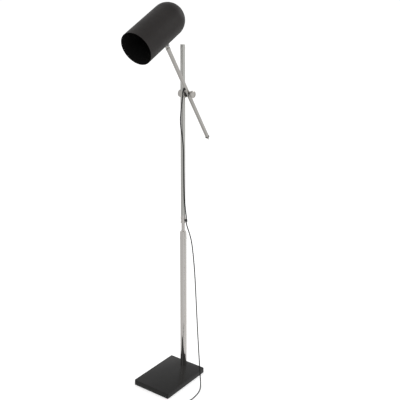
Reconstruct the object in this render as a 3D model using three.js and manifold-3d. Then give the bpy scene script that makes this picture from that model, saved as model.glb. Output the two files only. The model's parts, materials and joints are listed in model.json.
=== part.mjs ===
// Adjustable arm floor lamp: a weighted plate, a two-part chrome pole, a sliding clamp,
// a tilting arm and a capsule shade. Millimetres, +Z up. The origin is on the floor, on the
// pole's axis; the lamp faces -Y and the clamp's knob is on its +X side.
import * as THREE from 'three';
import { mergeVertices } from 'three/addons/utils/BufferGeometryUtils.js';
import Module from 'manifold-3d';

const wasm = await Module();
wasm.setup();

// ---- driving dimensions ------------------------------------------------------------------
const GAP = 0.3;                 // clearance between touching pieces
const ROUND = 40;                // sides of a turned piece

const BASE = { width: 192, length: 268, thick: 24, corner: 4, edge: 0.8 };
const FELT = { thick: 1.5, inset: 2 };
const POLE_SETBACK = 30;         // pole axis to the plate's back edge
const BASE_BOLT = { shank: 12, across: 19, head: 7.5, washer: 30, washerThick: 2.2, recess: 11 };
const FOOT_PLUG_LENGTH = 30;

const LOWER_TUBE = { od: 28, wall: 1.5 };
const COLLAR = { od: 30.5, length: 40, lip: 8, round: 3 };
const COLLAR_TOP = 689;          // height of the lower section above the floor
const SPIGOT = { od: 14, wall: 2, below: 80, above: 70 };
const SPIGOT_BUSH_LENGTH = 25;
const NECK_REVEAL = 37;          // bare spigot between the two sections
const UPPER_POLE = { od: 19, wall: 1.5, length: 761 };
const ADAPTER = { proud: 0.8, length: 34, groove: 0.5, grooveAt: 20, lip: 0.8, lipHeight: 5 };
const POLE_CAP = { proud: 0.7, length: 20, spigot: 18 };
const CLIP = { height: 11, above: 7.5, reach: 17.5, od: 9.4, neck: 5, peg: 4 };

const CLAMP_HEIGHT = 1289;       // clamp axis above the floor
const BARREL = { od: 32, left: 15.5, right: 18, edge: 1.5 };
const LINER = { wall: 0.9, length: 22 };
const SADDLE = { od: 22, web: 2.2, flank: 1.8 };
const CLAMP_SCREW_OD = 8;
const PAD_LENGTH = 3;
const KNOB = { od: 32, length: 14, neckOd: 22, neckLength: 4.4, edge: 2, bore: 9.2 };

const ARM = { od: 15, wall: 1.25, rear: 239.5, reach: 243, lean: 34.7 };
// proud: how far a piece stands out from the tube that it fits, on the radius.
const ARM_CAP = { proud: 2, length: 24, spigot: 14, round: 8 };
const CAP_RING = { proud: 1.2, thick: 2 };
const ARM_FERRULE = { proud: 1, length: 8 };
const GROMMET = { height: 33, od: 11, proud: 1.8 };

const KNUCKLE = { tongue: 6, ear: 4.7, round: 7.5, screw: 4, head: 8, proud: 0.7, collar: 3 };
const KNUCKLE_CLEARANCE = 0.7;   // between the fork's ears and the tongue's collar
const KNUCKLE_PLUG_LENGTH = 22;
const FORK = { base: 3, standoff: 12.8, nipple: 10, nippleBore: 6, nippleLength: 12 };

const SHADE = { radius: 67.1, wall: 1.2, barrel: 210, socketBack: 51.1, drop: 28.1 };
const BRACKET = { width: 16, thick: 2, foot: 60, heel: 10 };
const HOLDER = { od: 38, length: 52, wall: 3.5, tail: 14, tailOd: 18 };
const BULB = { capOd: 26, capLength: 22, radius: 30, length: 106, wall: 1 };

const CORD = 4.8;                // diameter of the lead
const SWITCH = { length: 70, width: 36, height: 19, base: 5, wall: 2, button: 25, travel: 3.5 };
const SWITCH_PLACE = [180, -264];
const COIL = { x: 238, y: -262, radius: 28, wide: 12, high: 10.4 };
const TIE = { thick: 1, width: 8, turn: 200 };
const PLUG = { length: 34, width: 24, thick: 15, blade: 16, bladeWide: 6.35, bladeThick: 1.5, spread: 12.7 };
const PLUG_PLACE = { x: 293.5, y: -193.5, turn: -90 };
const BOOT = { wide: 8, tip: 6.6, length: 21 };

// ---- materials ---------------------------------------------------------------------------
const finish = (color, roughness, metalness) =>
  new THREE.MeshStandardMaterial({ color, roughness, metalness });
const chrome = () => finish(0xc8c6c1, 0.12, 1);
const satinBlack = () => finish(0x2c2a29, 0.5, 0.1);
const glossBlack = () => finish(0x1b1b1c, 0.12, 0.1);
const blackPlastic = () => finish(0x161616, 0.55, 0);
const rubber = () => finish(0x101010, 0.85, 0);
const zincSteel = () => finish(0xa9adb0, 0.4, 1);
const brass = () => finish(0xc9a35a, 0.3, 1);
const ceramic = () => finish(0xe9e6dd, 0.4, 0);
const nylon = () => finish(0xdad6c8, 0.6, 0);
const feltMaterial = () => finish(0x1c1c1c, 1, 0);
const frostedGlass = () => finish(0xf3f1ea, 0.5, 0);

// ---- solids ------------------------------------------------------------------------------
// A closed geometry with merged vertices, no flat triangles and its faces pointing out.
function sealed(geometry) {
  const bare = geometry.clone();
  bare.deleteAttribute('normal');
  bare.deleteAttribute('uv');
  const welded = mergeVertices(bare, 1e-4);
  const p = welded.attributes.position;
  const kept = [];
  let volume = 0;
  for (let i = 0; i < welded.index.count; i += 3) {
    const [a, b, c] = [0, 1, 2].map((k) => welded.index.getX(i + k));
    if (a === b || b === c || a === c) continue;
    kept.push(a, b, c);
    const [A, B, C] = [a, b, c].map((k) => new THREE.Vector3().fromBufferAttribute(p, k));
    volume += A.dot(B.cross(C));
  }
  if (volume < 0) kept.reverse();
  welded.setIndex(kept);
  return welded;
}

function toSolid(geometry) {
  const g = sealed(geometry);
  return new wasm.Manifold(new wasm.Mesh({
    numProp: 3,
    vertProperties: new Float32Array(g.attributes.position.array),
    triVerts: new Uint32Array(g.index.array),
  }));
}

function toGeometry(solid) {
  const mesh = solid.getMesh();
  const g = new THREE.BufferGeometry();
  g.setAttribute('position', new THREE.BufferAttribute(new Float32Array(mesh.vertProperties), 3));
  g.setIndex(Array.from(mesh.triVerts));
  return g;
}

const cut = (from, ...tools) =>
  toGeometry(tools.reduce((left, tool) => left.subtract(toSolid(tool)), toSolid(from)));
const join = (...pieces) =>
  toGeometry(pieces.slice(1).reduce((all, piece) => all.add(toSolid(piece)), toSolid(pieces[0])));

// A turned piece about Z, from [radius, height] points.
const turned = (profile, sides = ROUND) =>
  new THREE.LatheGeometry(profile.map(([r, z]) => new THREE.Vector2(r, z)), sides).rotateX(Math.PI / 2);
const alongX = (geometry) => geometry.rotateY(Math.PI / 2);   // +Z becomes +X
const alongMinusY = (geometry) => geometry.rotateX(Math.PI / 2);  // +Z becomes -Y

const rod = (radius, low, high, sides = ROUND) =>
  turned([[0, low], [radius, low], [radius, high], [0, high]], sides);
const pipe = (outer, inner, low, high, sides = ROUND) =>
  turned([[inner, low], [outer, low], [outer, high], [inner, high], [inner, low]], sides);
const box = (x0, x1, y0, y1, z0, z1) =>
  new THREE.BoxGeometry(x1 - x0, y1 - y0, z1 - z0).translate((x0 + x1) / 2, (y0 + y1) / 2, (z0 + z1) / 2);

// Points of a quarter round from angle a to b about [r, z].
function arc(r, z, radius, a, b, steps = 6) {
  return Array.from({ length: steps + 1 }, (_, i) => {
    const t = THREE.MathUtils.degToRad(a + ((b - a) * i) / steps);
    return [r + radius * Math.cos(t), z + radius * Math.sin(t)];
  });
}

// A hexagon nut about Z, measured across its corners.
const nut = (corners, bore, low, high) =>
  cut(rod(corners / 2, low, high, 6), rod(bore, low - 1, high + 1, 24));

function roundedRectangle(width, length, radius) {
  const [w, l] = [width / 2, length / 2];
  const shape = new THREE.Shape();
  shape.absarc(w - radius, l - radius, radius, 0, Math.PI / 2);
  shape.absarc(-w + radius, l - radius, radius, Math.PI / 2, Math.PI);
  shape.absarc(-w + radius, -l + radius, radius, Math.PI, 1.5 * Math.PI);
  shape.absarc(w - radius, -l + radius, radius, 1.5 * Math.PI, 2 * Math.PI);
  return shape;
}

// A slab from z = 0 with chamfered upper and lower edges.
function slab(width, length, thick, corner, edge) {
  return new THREE.ExtrudeGeometry(roundedRectangle(width - 2 * edge, length - 2 * edge, corner - edge), {
    depth: thick - 2 * edge, bevelEnabled: edge > 0, bevelThickness: edge, bevelSize: edge,
    bevelSegments: 1, curveSegments: 6,
  }).translate(0, 0, edge);
}

// A tube of the lead along hand-placed points.
function lead(points, radius, steps, sides = 8) {
  const curve = new THREE.CatmullRomCurve3(points.map((p) => new THREE.Vector3(...p)), false, 'centripetal');
  const circle = new THREE.Shape().absarc(0, 0, radius, 0, 2 * Math.PI);
  const outline = new THREE.Shape(circle.getPoints(sides / 2).slice(0, sides));
  return new THREE.ExtrudeGeometry(outline, { steps, extrudePath: curve, bevelEnabled: false });
}

function piece(parent, name, geometry, material) {
  const mesh = new THREE.Mesh(sealed(geometry), material);
  mesh.name = name;
  parent.add(mesh);
  return mesh;
}

// ---- base --------------------------------------------------------------------------------
const plateBottom = FELT.thick;
const plateTop = FELT.thick + BASE.thick;
const plateCentreY = POLE_SETBACK - BASE.length / 2;

function buildBase(lamp) {
  const felt = slab(BASE.width - 2 * FELT.inset, BASE.length - 2 * FELT.inset, FELT.thick - GAP, BASE.corner, 0);
  piece(lamp, 'base_felt', felt.translate(0, plateCentreY, 0), feltMaterial());

  const plate = slab(BASE.width, BASE.length, BASE.thick, BASE.corner, BASE.edge)
    .translate(0, plateCentreY, plateBottom);
  const recessTop = plateBottom + BASE_BOLT.recess;
  piece(lamp, 'base_plate', cut(
    plate,
    rod(BASE_BOLT.washer / 2 + 2, plateBottom - 1, recessTop),
    rod(BASE_BOLT.shank / 2 + GAP, recessTop - 1, plateTop + 1),
  ), glossBlack());

  const washerTop = recessTop - GAP;
  const washerBottom = washerTop - BASE_BOLT.washerThick;
  const boltHole = BASE_BOLT.shank / 2 + GAP;
  piece(lamp, 'base_washer', pipe(BASE_BOLT.washer / 2, boltHole, washerBottom, washerTop, 24), zincSteel());

  const headTop = washerBottom - GAP;
  const plugTop = plateTop + GAP + FOOT_PLUG_LENGTH;
  piece(lamp, 'base_bolt', join(
    rod(BASE_BOLT.across / Math.sqrt(3), headTop - BASE_BOLT.head, headTop, 6),
    rod(BASE_BOLT.shank / 2, headTop - 1, plugTop - 4, 24),
  ), zincSteel());

  const plugRadius = LOWER_TUBE.od / 2 - LOWER_TUBE.wall - GAP;
  piece(lamp, 'tube_foot_plug', pipe(plugRadius, boltHole, plateTop + GAP, plugTop, 24), zincSteel());
}

// ---- pole --------------------------------------------------------------------------------
const adapterBottom = COLLAR_TOP + NECK_REVEAL;
const adapterTop = adapterBottom + ADAPTER.length;
const poleTop = adapterBottom + UPPER_POLE.length;
const lowerTubeTop = COLLAR_TOP - COLLAR.lip - GAP;
const clipBottom = adapterBottom + CLIP.above;
const clipTop = clipBottom + CLIP.height;

function buildPole(lamp) {
  const outer = LOWER_TUBE.od / 2;
  piece(lamp, 'lower_tube', pipe(outer, outer - LOWER_TUBE.wall, plateTop + GAP, lowerTubeTop), chrome());

  const collarBottom = COLLAR_TOP - COLLAR.length;
  piece(lamp, 'lower_tube_collar', turned([
    [outer + GAP, collarBottom],
    [COLLAR.od / 2 - 0.4, collarBottom],
    [COLLAR.od / 2, collarBottom + 0.8],
    ...arc(COLLAR.od / 2 - COLLAR.round, COLLAR_TOP - COLLAR.round, COLLAR.round, 0, 90),
    [SPIGOT.od / 2 + GAP, COLLAR_TOP],
    [SPIGOT.od / 2 + GAP, COLLAR_TOP - COLLAR.lip],
    [outer + GAP, COLLAR_TOP - COLLAR.lip],
    [outer + GAP, collarBottom],
  ]), chrome());

  const spigotBottom = COLLAR_TOP - SPIGOT.below;
  const [spigot, spigotTop] = [SPIGOT.od / 2, adapterBottom + SPIGOT.above];
  piece(lamp, 'pole_spigot', pipe(spigot, spigot - SPIGOT.wall, spigotBottom, spigotTop), chrome());
  const bushBottom = spigotBottom + 5;
  piece(lamp, 'spigot_bush', pipe(
    outer - LOWER_TUBE.wall - GAP, spigot + GAP, bushBottom, bushBottom + SPIGOT_BUSH_LENGTH, 24,
  ), nylon());

  const r = UPPER_POLE.od / 2 + ADAPTER.proud;
  const [groove, grooveBottom] = [ADAPTER.groove, adapterBottom + ADAPTER.grooveAt];
  const [lip, lipTop] = [r + ADAPTER.lip, adapterBottom + ADAPTER.lipHeight];
  const clipMiddle = clipBottom + CLIP.height / 2;
  const pegHole = alongX(rod(CLIP.peg / 2 + GAP, 0, r + 5, 16)).translate(0, 0, clipMiddle);
  piece(lamp, 'pole_adapter', cut(turned([
    [SPIGOT.od / 2 + GAP, adapterBottom],
    [lip, adapterBottom],
    [lip, lipTop - ADAPTER.lip],
    [r, lipTop],
    [r, grooveBottom],
    [r - groove, grooveBottom + groove],
    [r - groove, grooveBottom + 2],
    [r, grooveBottom + 2 + groove],
    [r, adapterTop - 2],
    [UPPER_POLE.od / 2, adapterTop],
    [SPIGOT.od / 2 + GAP, adapterTop],
    [SPIGOT.od / 2 + GAP, adapterBottom],
  ]), pegHole), chrome());

  const upper = UPPER_POLE.od / 2;
  const bore = upper - UPPER_POLE.wall;
  const tubeTop = poleTop - POLE_CAP.length - GAP;
  piece(lamp, 'upper_pole', pipe(upper, bore, adapterTop + GAP, tubeTop), chrome());
  const cap = upper + POLE_CAP.proud;
  piece(lamp, 'pole_cap', turned([
    [0, tubeTop - POLE_CAP.spigot],
    [bore - GAP - 0.5, tubeTop - POLE_CAP.spigot],
    [bore - GAP, tubeTop - POLE_CAP.spigot + 0.5],
    [bore - GAP, tubeTop + GAP],
    [cap - 0.3, tubeTop + GAP],
    [cap, tubeTop + GAP + 0.3],
    ...arc(cap - 1, poleTop - 1, 1, 0, 90, 3),
    [0, poleTop],
  ]), chrome());

  // A moulded clip pegged into the adapter's +X side: the lead passes down through its round lug.
  const [neck, pegEnd] = [CLIP.neck / 2, SPIGOT.od / 2 + 3 * GAP];
  piece(lamp, 'cord_clip', cut(
    join(
      rod(CLIP.od / 2, clipBottom, clipTop, 24).translate(CLIP.reach, 0, 0),
      box(r + GAP, CLIP.reach, -neck, neck, clipBottom + 2, clipTop - 2),
      alongX(rod(CLIP.peg / 2, pegEnd, r + GAP + 1, 16)).translate(0, 0, clipMiddle),
    ),
    rod(CORD / 2 + GAP, clipBottom - 1, clipTop + 1, 16).translate(CLIP.reach, 0, 0),
  ), blackPlastic());
}

// ---- clamp -------------------------------------------------------------------------------
const linerBore = UPPER_POLE.od / 2 + GAP;
const linerRadius = linerBore + LINER.wall;
const armOffset = BARREL.right + GAP + SADDLE.web + GAP + ARM.od / 2;
const saddleOuterFace = armOffset + ARM.od / 2 + GAP + SADDLE.web;
const knobFace = saddleOuterFace + GAP;

function buildClamp(clamp, arm) {
  piece(clamp, 'clamp_liner', pipe(linerRadius, linerBore, -LINER.length / 2, LINER.length / 2), nylon());

  const [r, edge] = [BARREL.od / 2, BARREL.edge];
  const barrel = alongX(turned([
    [0, -BARREL.left],
    ...arc(r - edge, -BARREL.left + edge, edge, -90, 0, 3),
    ...arc(r - edge, BARREL.right - edge, edge, 0, 90, 3),
    [0, BARREL.right],
  ]));
  const screwHole = CLAMP_SCREW_OD / 2 + GAP;
  piece(clamp, 'clamp_barrel', cut(
    barrel,
    rod(linerRadius + GAP, -r - 1, r + 1),
    alongX(rod(screwHole, 0, BARREL.right + 1, 24)),
  ), chrome());

  const padStart = linerRadius + GAP;
  const screwRadius = CLAMP_SCREW_OD / 2;
  piece(clamp, 'pressure_pad', alongX(rod(screwRadius, padStart + 0.2, padStart + PAD_LENGTH, 24)), brass());

  const knobBoreEnd = knobFace + KNOB.bore + KNOB.neckLength;
  const screwStart = padStart + PAD_LENGTH + GAP;
  piece(clamp, 'clamp_screw', alongX(rod(screwRadius, screwStart, knobBoreEnd - GAP, 24)), zincSteel());

  const [k, e] = [KNOB.od / 2, KNOB.edge];
  const headStart = knobFace + KNOB.neckLength;
  const knobEnd = headStart + KNOB.length;
  piece(clamp, 'clamp_knob', alongX(turned([
    [screwHole, knobFace],
    [KNOB.neckOd / 2, knobFace],
    [KNOB.neckOd / 2, headStart],
    ...arc(k - e, headStart + e, e, -90, 0, 3),
    ...arc(k - e, knobEnd - e, e, 0, 90, 3),
    [0, knobEnd],
    [0, knobBoreEnd],
    [screwHole, knobBoreEnd],
    [screwHole, knobFace],
  ])), chrome());

  // Two grooved washers that hold the arm between the barrel and the knob, and turn with it.
  const groove = rod(ARM.od / 2 + GAP, -SADDLE.od, SADDLE.od).translate(armOffset, 0, 0);
  const thick = SADDLE.web + SADDLE.flank;
  for (const [name, low] of [
    ['saddle_inner', BARREL.right + GAP],
    ['saddle_outer', saddleOuterFace - thick],
  ]) {
    piece(arm, name, cut(alongX(pipe(SADDLE.od / 2, screwHole, low, low + thick)), groove), blackPlastic());
  }
}

// ---- arm ---------------------------------------------------------------------------------
// The arm's own frame: +Z up the arm from the clamp screw, -Y its front side.
const armRadius = ARM.od / 2;
const armBore = armRadius - ARM.wall;
const earRound = KNUCKLE.round + 0.5;
const tongueBase = ARM.reach - earRound - KNUCKLE_CLEARANCE;
const armTop = tongueBase - KNUCKLE.collar - GAP;
const collarRadius = armRadius + KNUCKLE.proud;

function buildArm(arm) {
  const screwHole = CLAMP_SCREW_OD / 2 + GAP;
  const tube = pipe(armRadius, armBore, -ARM.rear, armTop);
  const leadHole = CORD / 2 + 1.2;
  piece(arm, 'arm_tube', cut(
    tube,
    alongX(rod(screwHole, -ARM.od, ARM.od, 24)),
    alongMinusY(rod(leadHole, 0, ARM.od, 24)).translate(0, 0, GROMMET.height),
  ).translate(armOffset, 0, 0), chrome());

  const ringTop = -ARM.rear - GAP;
  const ringBottom = ringTop - CAP_RING.thick;
  const capTop = ringBottom - GAP;
  const capBottom = capTop - ARM_CAP.length + CAP_RING.thick + 2 * GAP;
  const plug = armBore - GAP;
  const cap = armRadius + ARM_CAP.proud;
  piece(arm, 'arm_end_cap', turned([
    [0, -ARM.rear + ARM_CAP.spigot],
    [plug - 0.5, -ARM.rear + ARM_CAP.spigot],
    [plug, -ARM.rear + ARM_CAP.spigot - 0.5],
    [plug, capTop],
    [cap - 0.6, capTop],
    [cap, capTop - 0.6],
    ...arc(cap - ARM_CAP.round, capBottom + ARM_CAP.round, ARM_CAP.round, 0, -90, 5),
    [0, capBottom],
  ]).translate(armOffset, 0, 0), chrome());
  piece(arm, 'arm_cap_ring', pipe(armRadius + CAP_RING.proud, plug + GAP, ringBottom, ringTop)
    .translate(armOffset, 0, 0), rubber());

  const ferruleBottom = armTop - ARM_FERRULE.length;
  piece(arm, 'arm_ferrule', pipe(armRadius + ARM_FERRULE.proud, armRadius + GAP, ferruleBottom, armTop)
    .translate(armOffset, 0, 0), chrome());

  // A rubber bush in the tube's front wall, with a domed flange outside it.
  const leadBore = CORD / 2 + GAP;
  const flangeTop = armRadius + GAP + GROMMET.proud;
  const neck = leadHole - GAP;
  const bush = cut(
    join(rod(neck, armBore - 1, armRadius + 1, 24), turned([
      [0, 2], [GROMMET.od / 2, 2], [GROMMET.od / 2, flangeTop - 1],
      [GROMMET.od / 2 - 1, flangeTop], [0, flangeTop],
    ], 24)),
    rod(leadBore, 0, flangeTop + 1, 24),
  );
  const outside = rod(armRadius + GAP, -ARM.od, ARM.od);
  const sleeve = rod(neck, armBore - 1, flangeTop, 24);
  const flange = cut(alongMinusY(bush), outside);
  const throat = cut(alongMinusY(sleeve), alongMinusY(rod(leadBore, 0, flangeTop + 1, 24)));
  piece(arm, 'cord_grommet', join(flange, throat).translate(armOffset, 0, GROMMET.height), rubber());

  // The lead inside the tube, from the knuckle down to the bush.
  const [h, y] = [GROMMET.height, -(armRadius - 0.5)];
  piece(arm, 'arm_lead', lead([
    [0, 0, armTop - KNUCKLE_PLUG_LENGTH - 2], [0, 0, h + 90], [0, 0.8, h + 40], [0, 1.6, h + 18],
    [0, 1.0, h + 8], [0, -1.5, h + 2], [0, y / 2, h], [0, y, h],
  ], CORD / 2, 40).translate(armOffset, 0, 0), rubber());
}

// ---- knuckle -----------------------------------------------------------------------------
function buildTongue(arm) {
  const [half, round] = [KNUCKLE.tongue / 2, KNUCKLE.round];
  const plugTop = tongueBase - KNUCKLE.collar;
  const shank = turned([
    [0, plugTop - KNUCKLE_PLUG_LENGTH],
    [armBore - GAP, plugTop - KNUCKLE_PLUG_LENGTH],
    [armBore - GAP, plugTop],
    [collarRadius - 0.6, plugTop],
    [collarRadius, plugTop + 0.6],
    [collarRadius, tongueBase - 0.6],
    [collarRadius - 0.6, tongueBase],
    [0, tongueBase],
  ]);
  const blade = box(-half, half, -round, round, tongueBase - 1, ARM.reach);
  const end = alongX(rod(round, -half, half, 32)).translate(0, 0, ARM.reach);
  const hole = alongX(rod(KNUCKLE.screw / 2 + GAP, -20, 20, 16)).translate(0, 0, ARM.reach);
  piece(arm, 'knuckle_tongue', cut(join(shank, blade, end), hole).translate(armOffset, 0, 0), chrome());
}

// The shade's own frame: the knuckle screw is the origin, +Z into the shade, -Y towards its mouth.
const wallOutside = FORK.standoff;
const wallInside = FORK.standoff + SHADE.wall;
const shadeAxis = FORK.standoff + SHADE.radius;

function buildFork(shade) {
  const inner = KNUCKLE.tongue / 2 + GAP;
  const outer = inner + KNUCKLE.ear;
  const baseTop = wallOutside - GAP;
  const baseBottom = baseTop - FORK.base;
  const ears = [-1, 1].flatMap((side) => {
    const [x0, x1] = side < 0 ? [-outer, -inner] : [inner, outer];
    return [
      box(x0, x1, -earRound, earRound, 0, baseBottom + 1),
      alongX(rod(earRound, x0, x1, 32)),
    ];
  });
  const nipple = rod(FORK.nipple / 2, baseBottom + 1, wallInside + FORK.nippleLength, 32);
  const bore = rod(FORK.nippleBore / 2, baseBottom - 1, wallInside + FORK.nippleLength + 1, 24);
  const hole = alongX(rod(KNUCKLE.screw / 2 + GAP, -20, 20, 16));
  const disc = rod(collarRadius, baseBottom, baseTop, 40);
  piece(shade, 'knuckle_fork', cut(join(disc, nipple, ...ears), bore, hole), chrome());

  const headX = outer + GAP;
  const head = rod(KNUCKLE.head / 2, headX, headX + 2.4, 24);
  const slot = box(headX + 1.6, headX + 3, -0.5, 0.5, -5, 5);
  const shank = rod(KNUCKLE.screw / 2, -outer - 4, headX + 1, 24);
  piece(shade, 'knuckle_screw', cut(join(alongX(head), alongX(shank)), slot), zincSteel());
  const nutFace = -outer - GAP;
  piece(shade, 'knuckle_nut', alongX(nut(KNUCKLE.head, KNUCKLE.screw / 2 + GAP, nutFace - 3, nutFace)), zincSteel());
}

// ---- shade and lamp holder ---------------------------------------------------------------
const domeCentreY = SHADE.socketBack;
const mouthY = SHADE.socketBack - SHADE.barrel;
const bracketBottom = wallInside + 0.8;
const bracketTop = bracketBottom + BRACKET.thick;
const uprightFront = BRACKET.foot - BRACKET.heel;
const uprightBack = uprightFront + BRACKET.thick;

function buildShade(shade) {
  const [R, r] = [SHADE.radius, SHADE.radius - SHADE.wall];
  // Turned about Z with the dome centre at 0 and the mouth at +barrel, then laid along -Y.
  const shell = turned([
    ...arc(0, 0, R, -90, 0, 12),
    [R, SHADE.barrel],
    [r, SHADE.barrel],
    ...arc(0, 0, r, 0, -90, 12),
  ]);
  const nippleHole = rod(FORK.nipple / 2 + GAP, 0, shadeAxis, 32);
  const placed = alongMinusY(shell).translate(0, domeCentreY, shadeAxis);
  piece(shade, 'shade_shell', cut(placed, nippleHole), satinBlack());

  // An angle plate: its foot is held by the nipple and its upright carries the lamp holder.
  const w = BRACKET.width / 2;
  const tailHole = alongMinusY(rod(FORK.nipple / 2 + GAP, -uprightBack - 1, -uprightFront + 1, 32))
    .translate(0, 0, shadeAxis);
  piece(shade, 'holder_bracket', cut(
    join(
      box(-w, w, -BRACKET.heel, uprightBack, bracketBottom, bracketTop),
      box(-w, w, uprightFront, uprightBack, bracketBottom, shadeAxis),
      alongMinusY(rod(w, -uprightBack, -uprightFront, 32)).translate(0, 0, shadeAxis),
    ),
    rod(FORK.nipple / 2 + GAP, bracketBottom - 1, bracketTop + 1, 32),
    tailHole,
  ), zincSteel());
  const nutBottom = bracketTop + GAP;
  piece(shade, 'nipple_nut', nut(18, FORK.nipple / 2 + GAP, nutBottom, nutBottom + 4), brass());

  // The holder's own frame: +Z along its axis towards the mouth, 0 at the bracket's front.
  const holder = new THREE.Group();
  holder.position.set(0, uprightFront - GAP, shadeAxis);
  holder.rotation.x = Math.PI / 2;
  shade.add(holder);

  const [outer, inner, tail] = [HOLDER.od / 2, HOLDER.od / 2 - HOLDER.wall, FORK.nipple / 2];
  const floor = HOLDER.tail;
  piece(holder, 'lampholder', turned([
    [FORK.nippleBore / 2, -BRACKET.thick - 10],
    [tail, -BRACKET.thick - 10],
    [tail, 0],
    [HOLDER.tailOd / 2, 0],
    [HOLDER.tailOd / 2 + 3, 5],
    [outer, floor],
    [outer, HOLDER.length - 1],
    [outer - 1, HOLDER.length],
    [inner, HOLDER.length],
    [inner, floor + 4],
    [FORK.nippleBore / 2, floor + 4],
    [FORK.nippleBore / 2, -BRACKET.thick - 10],
  ], 32), ceramic());
  const nutTop = -BRACKET.thick - 2 * GAP;
  piece(holder, 'holder_nut', nut(18, tail + GAP, nutTop - 5 + GAP, nutTop), brass());

  const sleeve = inner - GAP;
  const capRadius = BULB.capOd / 2;
  const sleeveBore = capRadius + GAP;
  const shelf = floor + 4 + GAP;
  piece(holder, 'screw_shell', pipe(sleeve, sleeveBore, shelf, shelf + 24, 28), brass());
  piece(holder, 'centre_contact', join(
    box(-3.5, 3.5, -8, 3, shelf, shelf + 0.8),
    box(-3.5, 3.5, 2, 3, shelf, shelf + 3),
    box(-3.5, 3.5, -3, 3, shelf + 2.2, shelf + 3),
  ), brass());

  const capStart = shelf + 3 + GAP;
  const capEnd = capStart + BULB.capLength;
  piece(holder, 'bulb_cap', turned([
    [0, capStart],
    [4.5, capStart],
    [9, capStart + 3],
    [capRadius, capStart + 5],
    [capRadius, capEnd],
    [capRadius - 0.8, capEnd],
    [capRadius - 0.8, capStart + 6],
    [8, capStart + 4],
    [0, capStart + 2],
  ], 28), zincSteel());
  const globe = capStart + BULB.length - BULB.radius;
  const neck = capRadius - 0.8 - GAP;
  const [g, t] = [BULB.radius, BULB.wall];
  piece(holder, 'bulb_glass', turned([
    [neck, capEnd - 6],
    [neck, capEnd + 2],
    [neck + 2.5, capEnd + 14],
    ...arc(0, globe, g, -42, 90, 8),
    ...arc(0, globe, g - t, 90, -42, 8),
    [neck + 2.5 - t, capEnd + 14],
    [neck - t, capEnd + 2],
    [neck - t, capEnd - 6],
    [neck, capEnd - 6],
  ], 28), frostedGlass());

  // The wire from the holder's tail, round behind the bracket and down to the nipple.
  const behind = uprightBack + 10;
  const low = wallInside + FORK.nippleLength + 2;
  piece(shade, 'holder_lead', lead([
    [0, behind + 3, shadeAxis], [0, behind + 8, shadeAxis - 3], [6, behind + 9, shadeAxis - 14],
    [13, behind - 2, shadeAxis - 26], [13.5, uprightFront - 6, low + 12], [10, 26, low + 9],
    [4, 10, low + 7], [0.6, 2, low + 4], [0, 0, low],
  ], FORK.nippleBore / 2 - 0.8, 32), rubber());
}

// ---- lead, foot switch and plug ----------------------------------------------------------
const FLOOR_LEVEL = CORD / 2;
const switchFront = SWITCH_PLACE[1] - SWITCH.length / 2;
const switchBack = SWITCH_PLACE[1] + SWITCH.length / 2;
const switchLevel = SWITCH.base + 2.5;

// The lead outside the lamp, as points placed by hand.
const UPPER_ROUTE = [
  [28.3, -36.9, 1292.3], [27.6, -37.2, 1281], [23.6, -35.6, 1264], [17, -31.4, 1241], [11, -27.8, 1215],
  [6.8, -25.2, 1185], [5.8, -21.8, 1152], [8, -17.6, 1122], [11.4, -14.6, 1086], [13, -12.8, 1042],
  [12.4, -11.8, 995], [12.6, -10.8, 940], [12.8, -9.2, 885], [13.6, -7.4, 838], [14.8, -4.4, 800],
  [16.4, -1.6, 772], [17.5, 0, 756], [17.5, 0, 744.8],
];
const LOWER_ROUTE = [
  [17.5, 0, 733.2], [18, -0.2, 727], [21.4, -1, 716], [29, -2.6, 701], [40, -5, 680], [52, -8, 648],
  [62, -11, 600], [71, -14, 540], [79, -17, 470], [86, -20, 390], [93, -23, 310], [101, -27, 230],
  [111, -33, 150], [123, -42, 80], [137, -55, 30], [153, -75, 7], [167, -100, 2.8], [176, -128, 2.6],
  [180, -160, 2.6], [180.5, -178, 2.6], [180.2, -192, 4.6], [180, -205, 7.4], [180, -228.7, 7.5],
];
const LINK_ROUTE = [
  [180, -299.3, 7.5], [180, -311, 7.5], [180, -321.5, 7.5], [183, -331, 5.4], [191, -338, 3], [203, -340, 2.6],
  [216, -336, 2.6], [226, -327, 2.6], [233, -316, 3], [238, -306, 4], [243, -300.6, 4],
];
const TAIL_ROUTE = [
  [271, -278.6, 8.6], [277, -274.5, 6.6], [284, -268, 5.4], [289.5, -260, 6.4], [292.9, -252, 7.4],
  [293.5, -246, 7.5], [293.5, -237, 7.5], [293.5, -227.9, 7.5],
];

function buildBoot(arm) {
  // A tapered sleeve round the lead where it leaves the bush, bending down with it.
  const root = armRadius + GAP + GROMMET.proud + GAP;
  const bend = [];
  for (let i = 0; i <= 8; i += 1) {
    const s = i / 8;
    const turn = s * THREE.MathUtils.degToRad(52);
    const radius = BOOT.length / THREE.MathUtils.degToRad(52);
    bend.push([0, -root - radius * Math.sin(turn), GROMMET.height - radius * (1 - Math.cos(turn))]);
  }
  const tube = lead(bend, 1, 8, 16);
  const p = tube.attributes.position;
  const path = new THREE.CatmullRomCurve3(bend.map((b) => new THREE.Vector3(...b)), false, 'centripetal');
  const middle = path.getSpacedPoints(64);
  for (let i = 0; i < p.count; i += 1) {
    const v = new THREE.Vector3().fromBufferAttribute(p, i);
    let near = 0;
    middle.forEach((m, k) => { if (m.distanceToSquared(v) < middle[near].distanceToSquared(v)) near = k; });
    const wide = THREE.MathUtils.lerp(BOOT.wide / 2, CORD / 2 + 0.6, near / 64);
    v.sub(middle[near]).multiplyScalar(wide).add(middle[near]);
    p.setXYZ(i, v.x, v.y, v.z);
  }
  piece(arm, 'cord_boot', tube.translate(armOffset, 0, 0), rubber());
}

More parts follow.
